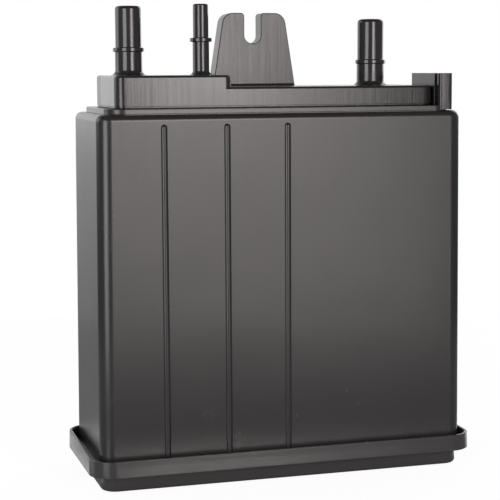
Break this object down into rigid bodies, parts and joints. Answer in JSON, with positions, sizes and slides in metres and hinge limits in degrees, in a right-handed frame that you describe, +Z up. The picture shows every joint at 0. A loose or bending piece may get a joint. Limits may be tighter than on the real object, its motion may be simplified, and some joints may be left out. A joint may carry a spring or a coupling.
{
  "type": "charcoal canister",
  "caption": "Tall flat moulded fuel-vapour canister with a stepped top manifold, upright hose spigots, a notched mounting plate, an end rail and a rimmed bottom cover.",
  "frame": {"origin": "middle of the flat foot of the bottom cover", "axes": "+Z up towards the hose spigots, +X along the long side from the tank spigot to the mounting rail, +Y from the face with the beads through to the face behind the notched plate"},
  "size_m": [0.252, 0.0988, 0.2986],
  "materials": {
    "housing": "black moulded polyamide, satin",
    "top_manifold": "black moulded polyamide, satin",
    "bottom_cover": "black moulded polyamide, satin",
    "carbon": "packed black carbon pellets",
    "fleece": "off-white needled polyester fleece",
    "pressure_plate": "dark grey moulded plastic",
    "spring": "plain drawn spring wire"
  },
  "bodies": {
    "root": {"housing": "housing", "top_manifold": "top_manifold", "bottom_cover": "bottom_cover", "tank_pad": "fleece", "purge_pad": "fleece", "vent_pad": "fleece", "main_carbon_bed": "carbon", "vent_carbon_bed_upper": "carbon", "vent_carbon_bed_lower": "carbon", "vent_middle_pad": "fleece", "main_lower_pad": "fleece", "vent_lower_pad": "fleece", "main_pressure_plate": "pressure_plate", "vent_pressure_plate": "pressure_plate", "main_spring_1": "spring", "main_spring_2": "spring", "main_spring_3": "spring", "main_spring_4": "spring", "vent_spring_1": "spring", "vent_spring_2": "spring"}
  },
  "joints": []
}
